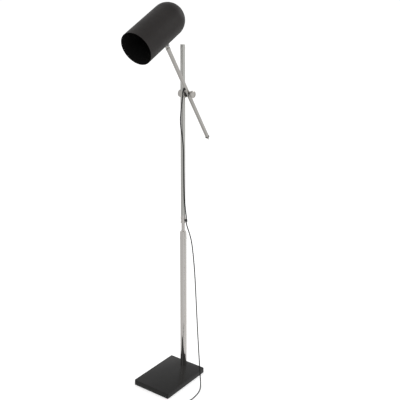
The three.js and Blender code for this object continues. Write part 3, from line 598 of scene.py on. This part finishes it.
# ---- clamp ---------------------------------------------------------------------------------
# A solid chrome cylinder lies across the pole, bored and lined to slide and turn on it. One big
# screw goes through it, two grooved washers and the arm, and the round knob draws them together.
joints = {joint["name"]: joint for joint in frame["record"]["behaviour"]["joints"]}
clamp_centre = Vector(joints["clamp_slide"]["pos_m"])
across = Matrix.Translation(clamp_centre) @ Matrix.Rotation(math.pi / 2, 4, "Y")
# Painted shade: the clamp's plating is darker than the pole's, for the dimmer light it reflects.
clamp_chrome_painted_shade = chrome_plate("clamp_chrome_painted_shade", (0.54, 0.52, 0.49), (0.02, 1, 1))

barrel_low, barrel_high = span("clamp_barrel")
liner_radius = span("clamp_liner")[1].x
barrel_radius = (barrel_high.z - barrel_low.z) / 2
barrel = turned("clamp_barrel_plated", outline(
    (0, barrel_low.x, 0), (barrel_radius, barrel_low.x, 1.5), (barrel_radius, barrel_high.x, 1.5), (0, barrel_high.x, 0),
), across)
SCREW_HOLE = 4.3
barrel = bored(
    barrel,
    turned("pole_bore", outline((0, -30, 0), (liner_radius + 0.3, -30, 0), (liner_radius + 0.3, 30, 0), (0, 30, 0)),
           Matrix.Translation(clamp_centre)),
    turned("screw_bore", outline((0, 0, 0), (SCREW_HOLE, 0, 0), (SCREW_HOLE, 30, 0), (0, 30, 0)), across),
)
fitted(barrel, clamp_chrome_painted_shade, "chrome", "clamp", "clamp_barrel", smooth=40)

knob_low, knob_high = span("clamp_knob")
knob_radius = (knob_high.z - knob_low.z) / 2
knob = outline(
    (SCREW_HOLE, knob_low.x, 0), (11, knob_low.x, 0.4), (11, knob_low.x + 4.4, 0.6), (knob_radius, knob_low.x + 4.4, 2),
    (knob_radius, knob_high.x, 2), (knob_radius - 5, knob_high.x, 0.4), (knob_radius - 5.5, knob_high.x - 0.3, 0.2),
    (0, knob_high.x - 0.3, 0), (0, knob_low.x + 13.6, 0), (SCREW_HOLE, knob_low.x + 13.6, 0),
)
fitted(turned("clamp_knob_plated", knob, across), clamp_chrome_painted_shade, "chrome", "knob", "clamp_knob")
dressed(zinc, "zinc_steel", "clamp_screw")
dressed(nylon, "nylon", "clamp_liner")


def turned_brass():
    made, shader = new_material("turned_brass", (0.7, 0.5, 0.22), 0.28, 1.0)
    vary(made, grain(made, 300, 3), shader.inputs["Roughness"], 0.2, 0.4)
    vary(made, grain(made, 40, 3), shader.inputs["Base Color"], (0.62, 0.43, 0.18), (0.74, 0.54, 0.26))
    return made


brass = turned_brass()
dressed(brass, "brass", "pressure_pad")
for side in ("inner", "outer"):
    washer_piece = as_built(f"saddle_{side}_moulded", f"saddle_{side}")
    fitted(eased(washer_piece, 0.5), moulding, "black_plastic", "arm", f"saddle_{side}")

# ---- arm -----------------------------------------------------------------------------------
# A chrome tube, drilled for the clamp screw and for the lead. A rounded cap and a black ring close
# its lower end, and a sleeve finishes its upper end.
pivot, knuckle = (Vector(joints[name]["pos_m"]) for name in ("arm_tilt", "shade_tilt"))
along = (knuckle - pivot).normalized()
side = Vector((1, 0, 0))
arm_frame = Matrix.Translation(pivot) @ Matrix((side, along.cross(side), along)).transposed().to_4x4()
ARM_RADIUS, ARM_BORE = 7.5, 6.25
ARM_FOOT, ARM_HEAD = -239.5, 231
GROMMET_HEIGHT = 33
# Painted shade: the arm's plating is the darkest copy of the chrome, for the dimmer light it reflects.
arm_chrome_painted_shade = chrome_plate("arm_chrome_painted_shade", (0.5, 0.485, 0.46))
frontwards = Matrix.Rotation(math.pi / 2, 4, "X")
crosswise = Matrix.Rotation(math.pi / 2, 4, "Y")

arm = turned("arm_tube_plated", outline(
    (ARM_BORE, ARM_FOOT, 0), (ARM_RADIUS, ARM_FOOT, 0.3), (ARM_RADIUS, ARM_HEAD, 0.3), (ARM_BORE, ARM_HEAD, 0),
), arm_frame)
arm = bored(
    arm,
    turned("arm_screw_hole", outline((0, -12, 0), (SCREW_HOLE, -12, 0), (SCREW_HOLE, 12, 0), (0, 12, 0)),
           arm_frame @ crosswise),
    turned("arm_lead_hole", outline((0, 0, 0), (3.6, 0, 0), (3.6, 12, 0), (0, 12, 0)),
           arm_frame @ Matrix.Translation((0, 0, GROMMET_HEIGHT * MM)) @ frontwards),
)
fitted(arm, arm_chrome_painted_shade, "chrome", "arm", "arm_tube", smooth=40)

end_cap = outline(
    (0, ARM_FOOT + 14, 0), (5.95, ARM_FOOT + 14, 0.5), (5.95, ARM_FOOT - 2.6, 0), (9.5, ARM_FOOT - 2.6, 0.7),
    (9.5, ARM_FOOT - 24, 8), (0, ARM_FOOT - 24, 0), steps=8,
)
fitted(turned("arm_end_cap_plated", end_cap, arm_frame), arm_chrome_painted_shade, "chrome", "arm", "arm_end_cap")
sleeve = outline((7.8, ARM_HEAD - 8, 0), (8.5, ARM_HEAD - 8, 0.3), (8.5, ARM_HEAD, 0.3), (7.8, ARM_HEAD, 0))
fitted(turned("arm_sleeve_plated", sleeve, arm_frame), arm_chrome_painted_shade, "chrome", "arm", "arm_ferrule")


def black_rubber():
    made, shader = new_material("black_rubber", (0.014, 0.014, 0.014), 0.7)
    vary(made, grain(made, 200, 4), shader.inputs["Base Color"], (0.01, 0.01, 0.01), (0.022, 0.022, 0.021))
    roughen(made, grain(made, 600, 3), 0.3, 0.0001)
    return made


rubber = black_rubber()
cap_ring = outline((6.25, ARM_FOOT - 2.3, 0), (8.7, ARM_FOOT - 2.3, 0.5), (8.7, ARM_FOOT - 0.3, 0.5),
                   (6.25, ARM_FOOT - 0.3, 0))
fitted(turned("arm_cap_ring_moulded", cap_ring, arm_frame), rubber, "rubber", "arm", "arm_cap_ring")
dressed(jacket, "cord", "arm_lead")

# ---- bush and sleeve -----------------------------------------------------------------------
# A domed rubber bush lines the hole in the arm's front, and a tapered sleeve with shallow ribs
# keeps the lead from kinking as it turns down out of it.
bush = eased(as_built("lead_bush_moulded", "cord_grommet"), 0.35)
fitted(bush, rubber, "rubber", "arm", "cord_grommet", smooth=45)
fitted(eased(as_built("lead_sleeve_moulded", "cord_boot"), 0.3), rubber, "rubber", "arm", "cord_boot", smooth=45)

# ---- knuckle -------------------------------------------------------------------------------
# A tongue plugged into the arm turns on a screw between the ears of a fork. The fork's hollow
# nipple goes through the shade's wall and carries the lead.
SHADE_DROP = math.radians(28.1)
shade_frame = Matrix.Translation(knuckle) @ Matrix.Rotation(SHADE_DROP, 4, "X")
tongue = eased(as_built("knuckle_tongue_plated", "knuckle_tongue"), 0.3, 2)
fitted(tongue, arm_chrome_painted_shade, "chrome", "arm", "knuckle_tongue", smooth=40)
fork = eased(as_built("knuckle_fork_plated", "knuckle_fork"), 0.3, 2)
fitted(fork, arm_chrome_painted_shade, "chrome", "shade", "knuckle_fork", smooth=40)
dressed(zinc, "zinc_steel", "knuckle_screw", "knuckle_nut")

# ---- shade ---------------------------------------------------------------------------------
# One piece of steel spun to a capsule: a half-round dome running into a straight barrel, cut off
# square at the mouth. Satin black stove enamel outside, a deeper matt black inside.
SHADE_RADIUS, SHADE_BARREL, SHADE_WALL = 67.1, 210, 1.2
AXIS_HEIGHT, DOME_CENTRE = 12.8 + SHADE_RADIUS, 51.1


def node_input(tree, name, kind, value):
    made = tree.interface.new_socket(name, in_out="INPUT", socket_type=kind)
    made.default_value = value
    return made


def worked(tree, operation, one, two=None):
    """A maths node's output, from sockets or numbers."""
    maths = tree.nodes.new("ShaderNodeMath")
    maths.operation = operation
    for socket, value in zip(maths.inputs, (one, two)):
        if isinstance(value, bpy.types.NodeSocket):
            tree.links.new(value, socket)
        elif value is not None:
            socket.default_value = value
    return maths.outputs[0]


def spun_shell_tree(material):
    """A capsule's skin: a sheet rolled round +Z, whose length runs over the dome and down the barrel."""
    tree = bpy.data.node_groups.new("spun_shell", "GeometryNodeTree")
    tree.interface.new_socket("Geometry", in_out="INPUT", socket_type="NodeSocketGeometry")
    tree.interface.new_socket("Geometry", in_out="OUTPUT", socket_type="NodeSocketGeometry")
    node_input(tree, "Radius", "NodeSocketFloat", 1.0)
    node_input(tree, "Barrel", "NodeSocketFloat", 1.0)
    node_input(tree, "Sides", "NodeSocketInt", 128)
    node_input(tree, "Rows", "NodeSocketInt", 64)
    given, result = tree.nodes.new("NodeGroupInput"), tree.nodes.new("NodeGroupOutput")
    radius, barrel = given.outputs["Radius"], given.outputs["Barrel"]
    dome_run = worked(tree, "MULTIPLY", radius, math.pi / 2)
    run = worked(tree, "ADD", dome_run, barrel)
    sheet = tree.nodes.new("GeometryNodeMeshGrid")
    sheet.inputs["Size X"].default_value = 2 * math.pi
    tree.links.new(run, sheet.inputs["Size Y"])
    tree.links.new(worked(tree, "ADD", given.outputs["Sides"], 1), sheet.inputs["Vertices X"])
    tree.links.new(given.outputs["Rows"], sheet.inputs["Vertices Y"])
    flat = tree.nodes.new("ShaderNodeSeparateXYZ")
    tree.links.new(tree.nodes.new("GeometryNodeInputPosition").outputs[0], flat.inputs[0])
    distance = worked(tree, "ADD", flat.outputs["Y"], worked(tree, "DIVIDE", run, 2))
    dome_angle = worked(tree, "MINIMUM", worked(tree, "DIVIDE", distance, radius), math.pi / 2)
    out = worked(tree, "MULTIPLY", radius, worked(tree, "SINE", dome_angle))
    beyond = worked(tree, "MAXIMUM", worked(tree, "SUBTRACT", distance, dome_run), 0.0)
    drop = worked(tree, "MULTIPLY", radius, worked(tree, "COSINE", dome_angle))
    rolled = tree.nodes.new("ShaderNodeCombineXYZ")
    tree.links.new(worked(tree, "MULTIPLY", out, worked(tree, "COSINE", flat.outputs["X"])), rolled.inputs["X"])
    tree.links.new(worked(tree, "MULTIPLY", out, worked(tree, "SINE", flat.outputs["X"])), rolled.inputs["Y"])
    tree.links.new(worked(tree, "SUBTRACT", beyond, drop), rolled.inputs["Z"])
    moved, welded = tree.nodes.new("GeometryNodeSetPosition"), tree.nodes.new("GeometryNodeMergeByDistance")
    real, painted = tree.nodes.new("GeometryNodeRealizeInstances"), tree.nodes.new("GeometryNodeSetMaterial")
    welded.inputs["Distance"].default_value = 1e-5
    painted.inputs["Material"].default_value = material
    tree.links.new(sheet.outputs["Mesh"], moved.inputs["Geometry"])
    tree.links.new(rolled.outputs[0], moved.inputs["Position"])
    for source, target in ((moved, welded), (welded, real), (real, painted), (painted, result)):
        tree.links.new(source.outputs["Geometry"] if "Geometry" in source.outputs else source.outputs[0], target.inputs[0])
    return tree


def from_nodes(name, tree, **sizes):
    """The plain mesh that a node tree makes with the given sizes."""
    made = bpy.data.objects.new(name, bpy.data.meshes.new(name))
    scene.collection.objects.link(made)
    maker = made.modifiers.new(tree.name, "NODES")
    maker.node_group = tree
    for socket in tree.interface.items_tree:
        if socket.in_out == "INPUT" and socket.name in sizes:
            maker[socket.identifier] = sizes[socket.name]
    return as_mesh(made)


def satin_enamel():
    made, shader = new_material("satin_enamel", (0.014, 0.012, 0.011), 0.36)
    shader.inputs["Specular IOR Level"].default_value = 0.23
    vary(made, grain(made, 9, 3), shader.inputs["Base Color"], (0.013, 0.0108, 0.0102), (0.02, 0.017, 0.0158))
    vary(made, grain(made, 60, 3), shader.inputs["Roughness"], 0.44, 0.54)
    roughen(made, grain(made, 700, 2), 0.08, 0.00006)
    return made


def matt_lining():
    made, shader = new_material("matt_lining", (0.004, 0.004, 0.004), 0.8)
    shader.inputs["Specular IOR Level"].default_value = 0.2
    vary(made, grain(made, 80, 4), shader.inputs["Base Color"], (0.003, 0.003, 0.003), (0.006, 0.0058, 0.0056))
    return made


enamel, lining = satin_enamel(), matt_lining()
capsule = from_nodes("shade_spun", spun_shell_tree(enamel), Radius=SHADE_RADIUS * MM, Barrel=SHADE_BARREL * MM)
mouth_down = shade_frame @ Matrix.Translation((0, DOME_CENTRE * MM, AXIS_HEIGHT * MM)) @ frontwards
capsule.data.transform(mouth_down)
skin = bmesh.new()
skin.from_mesh(capsule.data)
bmesh.ops.recalc_face_normals(skin, faces=skin.faces)
skin.to_mesh(capsule.data)
skin.free()
capsule.data.materials.clear()
capsule.data.materials.append(enamel)
capsule.data.materials.append(lining)
wall = capsule.modifiers.new("wall", "SOLIDIFY")
wall.thickness, wall.offset, wall.use_even_offset = SHADE_WALL * MM, -1, True
wall.material_offset, wall.material_offset_rim = 1, 0
capsule = as_mesh(capsule)
capsule = bored(capsule, turned(
    "nipple_hole", outline((0, 5, 0), (5.3, 5, 0), (5.3, 30, 0), (0, 30, 0)), shade_frame, sides=32))
capsule.data.shade_smooth()
capsule.data.set_sharp_from_angle(angle=math.radians(40))
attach(capsule, "shade")
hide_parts("shade_shell")

# ---- lamp holder and bulb ------------------------------------------------------------------
# A glazed ceramic holder on an angle plate, with a brass screw shell inside. The bulb's screw cap
# and the shell both have a rolled thread of a few round turns.
dressed(zinc, "zinc_steel", "holder_bracket")
dressed(brass, "brass", "nipple_nut", "holder_nut", "centre_contact")
dressed(jacket, "cord", "holder_lead")
UPRIGHT_FRONT = 50
holder_frame = shade_frame @ Matrix.Translation((0, (UPRIGHT_FRONT - 0.3) * MM, AXIS_HEIGHT * MM)) @ frontwards


def glazed_ceramic():
    made, shader = new_material("glazed_ceramic", (0.83, 0.81, 0.76), 0.18)
    shader.inputs["Coat Weight"].default_value = 0.5
    vary(made, grain(made, 25, 4), shader.inputs["Base Color"], (0.79, 0.77, 0.71), (0.86, 0.84, 0.79))
    roughen(made, grain(made, 120, 2), 0.06, 0.0002)
    return made


HOLDER_RADIUS, HOLDER_BORE, HOLDER_FLOOR = 19, 15.5, 18
holder = outline(
    (3, -12, 0), (5, -12, 0.3), (5, 0, 0), (9, 0, 0.6), (12, 5, 1), (HOLDER_RADIUS, 14, 1.5),
    (HOLDER_RADIUS, 46, 0.3), (18.2, 46.6, 0.2), (18.2, 48, 0.2), (HOLDER_RADIUS, 48.6, 0.3), (HOLDER_RADIUS, 52, 1),
    (HOLDER_BORE, 52, 0.6), (HOLDER_BORE, HOLDER_FLOOR, 0), (3, HOLDER_FLOOR, 0),
)
fitted(turned("lampholder_glazed", holder, holder_frame), glazed_ceramic(), "ceramic", "shade", "lampholder")


def thread_tree(material):
    """Round rings set along +Z at a pitch, as a rolled thread shows."""
    tree = bpy.data.node_groups.new("rolled_thread", "GeometryNodeTree")
    tree.interface.new_socket("Geometry", in_out="INPUT", socket_type="NodeSocketGeometry")
    tree.interface.new_socket("Geometry", in_out="OUTPUT", socket_type="NodeSocketGeometry")
    node_input(tree, "Radius", "NodeSocketFloat", 1.0)
    node_input(tree, "Depth", "NodeSocketFloat", 0.1)
    node_input(tree, "Pitch", "NodeSocketVector", (0, 0, 1))
    node_input(tree, "First", "NodeSocketVector", (0, 0, 0))
    node_input(tree, "Turns", "NodeSocketInt", 5)
    given, result = tree.nodes.new("NodeGroupInput"), tree.nodes.new("NodeGroupOutput")
    rows, hoop = tree.nodes.new("GeometryNodeMeshLine"), tree.nodes.new("GeometryNodeCurvePrimitiveCircle")
    section, swept = tree.nodes.new("GeometryNodeCurvePrimitiveCircle"), tree.nodes.new("GeometryNodeCurveToMesh")
    hoop.inputs["Resolution"].default_value, section.inputs["Resolution"].default_value = 64, 10
    copies, real = tree.nodes.new("GeometryNodeInstanceOnPoints"), tree.nodes.new("GeometryNodeRealizeInstances")
    joined, painted = tree.nodes.new("GeometryNodeJoinGeometry"), tree.nodes.new("GeometryNodeSetMaterial")
    painted.inputs["Material"].default_value = material
    tree.links.new(given.outputs["Turns"], rows.inputs["Count"])
    tree.links.new(given.outputs["First"], rows.inputs["Start Location"])
    tree.links.new(given.outputs["Pitch"], rows.inputs["Offset"])
    tree.links.new(given.outputs["Radius"], hoop.inputs["Radius"])
    tree.links.new(given.outputs["Depth"], section.inputs["Radius"])
    tree.links.new(hoop.outputs["Curve"], swept.inputs["Curve"])
    tree.links.new(section.outputs["Curve"], swept.inputs["Profile Curve"])
    tree.links.new(rows.outputs["Mesh"], copies.inputs["Points"])
    tree.links.new(swept.outputs["Mesh"], copies.inputs["Instance"])
    tree.links.new(copies.outputs["Instances"], real.inputs["Geometry"])
    tree.links.new(real.outputs["Geometry"], joined.inputs["Geometry"])
    tree.links.new(given.outputs["Geometry"], joined.inputs["Geometry"])
    tree.links.new(joined.outputs["Geometry"], painted.inputs["Geometry"])
    tree.links.new(painted.outputs["Geometry"], result.inputs[0])
    return tree


def threaded(made, material, **sizes):
    """A turned piece with thread rings added to it by nodes, while it still stands on its own axis."""
    maker = made.modifiers.new("rolled_thread", "NODES")
    maker.node_group = thread_tree(material)
    for socket in maker.node_group.interface.items_tree:
        if socket.in_out == "INPUT" and socket.name in sizes:
            maker[socket.identifier] = sizes[socket.name]
    plain = as_mesh(made)
    plain.data.transform(holder_frame)
    return plain


SHELF, THREAD_PITCH = 18.3, 3.6
cap_start, cap_end = SHELF + 3.3, SHELF + 25.3
shell = turned("screw_shell_rolled", outline(
    (13.5, SHELF, 0), (15, SHELF, 0.3), (15, SHELF + 24, 0.3), (13.5, SHELF + 24, 0)), sides=64)
shell = threaded(shell, brass, Radius=14.3 * MM, Depth=0.85 * MM, Turns=6,
                 Pitch=(0, 0, THREAD_PITCH * MM), First=(0, 0, (SHELF + 3) * MM))
fitted(shell, brass, "brass", "shade", "screw_shell")
bulb_cap = turned("bulb_cap_rolled", outline(
    (0, cap_start, 0), (4.5, cap_start, 0.5), (9, cap_start + 3, 0.3), (12.6, cap_start + 5, 0.5), (12.6, cap_end, 0.2),
    (11.8, cap_end, 0), (11.8, cap_start + 6, 0), (8, cap_start + 4, 0), (0, cap_start + 2, 0)), sides=64)
bulb_cap = threaded(bulb_cap, zinc, Radius=12.3 * MM, Depth=0.7 * MM, Turns=4,
                    Pitch=(0, 0, THREAD_PITCH * MM), First=(0, 0, (cap_start + 7) * MM))
fitted(bulb_cap, zinc, "zinc_steel", "shade", "bulb_cap")


def frosted_glass():
    made, shader = new_material("frosted_glass", (0.9, 0.89, 0.86), 0.45)
    shader.inputs["Transmission Weight"].default_value = 0.25
    shader.inputs["Coat Weight"].default_value = 0.4
    vary(made, grain(made, 150, 3), shader.inputs["Roughness"], 0.4, 0.55)
    return made


BULB_RADIUS, BULB_LENGTH, GLASS = 30, 106, 1
globe = cap_start + BULB_LENGTH - BULB_RADIUS


def bulb_side(shrink, order):
    """The bulb's outline from its neck round to its tip, or back."""
    side_points = [(11.9 - shrink, cap_end - 6), (11.9 - shrink, cap_end + 2), (14.4 - shrink, cap_end + 14)]
    arc = range(-42, 91, 6)
    side_points += [((BULB_RADIUS - shrink) * math.cos(math.radians(a)),
                     globe + (BULB_RADIUS - shrink) * math.sin(math.radians(a))) for a in arc]
    return side_points[::order]


glass = turned("bulb_glass_blown", [*bulb_side(0, 1), *bulb_side(GLASS, -1)], holder_frame, sides=64)
fitted(glass, frosted_glass(), "frosted_glass", "shade", "bulb_glass", smooth=60)

# ---- foot switch ---------------------------------------------------------------------------
# A black two-part case on the floor with a large round push button. The lead goes in and out at
# the ends through tapered sleeves.
switch_low, switch_high = span("switch_cover")
base_low, base_high = span("switch_base")
button_low, button_high = span("switch_button")
switch_middle = Matrix.Translation(((switch_low + switch_high) / 2 * MM).to_2d().to_3d())
fitted(eased(slab("switch_base_moulded", base_low, base_high, 9), 0.8), moulding, "black_plastic", "stand", "switch_base")
SWITCH_WALL, BUTTON_GAP = 2, 0.3
button_radius = (button_high.x - button_low.x) / 2
inset = Vector((SWITCH_WALL, SWITCH_WALL, 0))
cover = eased(slab("switch_cover_moulded", switch_low, switch_high, 9), 1.6, 4)
hollow = slab("switch_hollow", switch_low + inset - Vector((0, 0, 1)), switch_high - inset - Vector((0, 0, SWITCH_WALL)), 7)
well = turned("button_well", outline(
    (0, 8, 0), (button_radius + BUTTON_GAP, 8, 0), (button_radius + BUTTON_GAP, 40, 0), (0, 40, 0)), switch_middle)
lead_way = turned("switch_lead_way", outline((0, -60, 0), (2.7, -60, 0), (2.7, 60, 0), (0, 60, 0)),
                  switch_middle @ Matrix.Translation((0, 0, 7.5 * MM)) @ frontwards, sides=32)
fitted(bored(cover, hollow, well, lead_way), moulding, "black_plastic", "stand", "switch_cover", smooth=40)
button = outline(
    (0, button_low.z, 0), (button_radius, button_low.z, 1.5), (button_radius, button_high.z - 0.6, 1.5),
    (button_radius - 3, button_high.z - 0.5, 0.4), (0, button_high.z - 0.9, 0),
)
fitted(turned("switch_button_moulded", button, switch_middle), moulding, "black_plastic", "foot_button", "switch_button")

# ---- lead sleeves --------------------------------------------------------------------------
# Tapered rubber sleeves, 21 mm long with five shallow ribs, where the lead meets the switch and
# the plug.
SLEEVE_WIDE, SLEEVE_TIP, SLEEVE_BORE = 4.0, 3.3, 2.7


def lead_sleeve(name, node, towards):
    """A ribbed sleeve lying along Y from its housing, towards +Y or -Y."""
    low, high = span(node)
    root = Vector(((low.x + high.x) / 2, low.y if towards > 0 else high.y, (low.z + high.z) / 2)) * MM
    long = high.y - low.y
    corners = [(SLEEVE_BORE, 0, 0), (SLEEVE_WIDE, 0, 0.3)]
    for rib in range(5):
        foot = 3 + rib * 3.4
        width = SLEEVE_WIDE + (SLEEVE_TIP - SLEEVE_WIDE) * foot / long
        corners += [(width, foot, 0.15), (width - 0.5, foot + 0.4, 0.1), (width - 0.5, foot + 1.5, 0.1),
                    (width - 0.1, foot + 1.9, 0.15)]
    corners += [(SLEEVE_TIP, long, 0.3), (SLEEVE_BORE, long, 0)]
    lie = Matrix.Rotation(-math.pi / 2 if towards > 0 else math.pi / 2, 4, "X")
    made = turned(name, outline(*corners, steps=3), Matrix.Translation(root) @ lie, sides=40)
    fitted(made, rubber, "rubber", "stand", node)


lead_sleeve("switch_sleeve_back", "switch_boot_back", 1)
lead_sleeve("switch_sleeve_front", "switch_boot_front", -1)
lead_sleeve("plug_sleeve", "plug_boot", -1)

# ---- plug ----------------------------------------------------------------------------------
# A flat moulded plug with two plain brass blades. Its body narrows towards the lead.
plug_low, plug_high = span("plug_body")


def plug_outline(shape):
    middle, half = (plug_low.x + plug_high.x) / 2, (plug_high.x - plug_low.x) / 2
    long = plug_high.y - plug_low.y
    waist = [(0, 1), (0.3, 1), (0.45, 0.9), (0.62, 0.7), (0.8, 0.48), (1, 0.3)]
    right_side = [(middle + half * wide, plug_high.y - long * run) for run, wide in waist]
    left_side = [(2 * middle - x, y) for x, y in reversed(right_side)]
    bottom = shape.faces.new([shape.verts.new((x, y, plug_low.z)) for x, y in right_side + left_side])
    risen = bmesh.ops.extrude_face_region(shape, geom=[bottom])
    top = [v for v in risen["geom"] if isinstance(v, bmesh.types.BMVert)]
    bmesh.ops.translate(shape, verts=top, vec=(0, 0, plug_high.z - plug_low.z))


plug = eased(shaped("plug_moulded", plug_outline), 2, 4)
fitted(plug, moulding, "black_plastic", "stand", "plug_body", smooth=40)
dressed(brass, "brass", "plug_blade_left", "plug_blade_right")

# ---- coil tie ------------------------------------------------------------------------------
# A soft black strap with square corners, closed round the coiled lead.
fitted(eased(as_built("coil_tie_strap", "coil_tie"), 0.3), rubber, "rubber", "stand", "coil_tie")
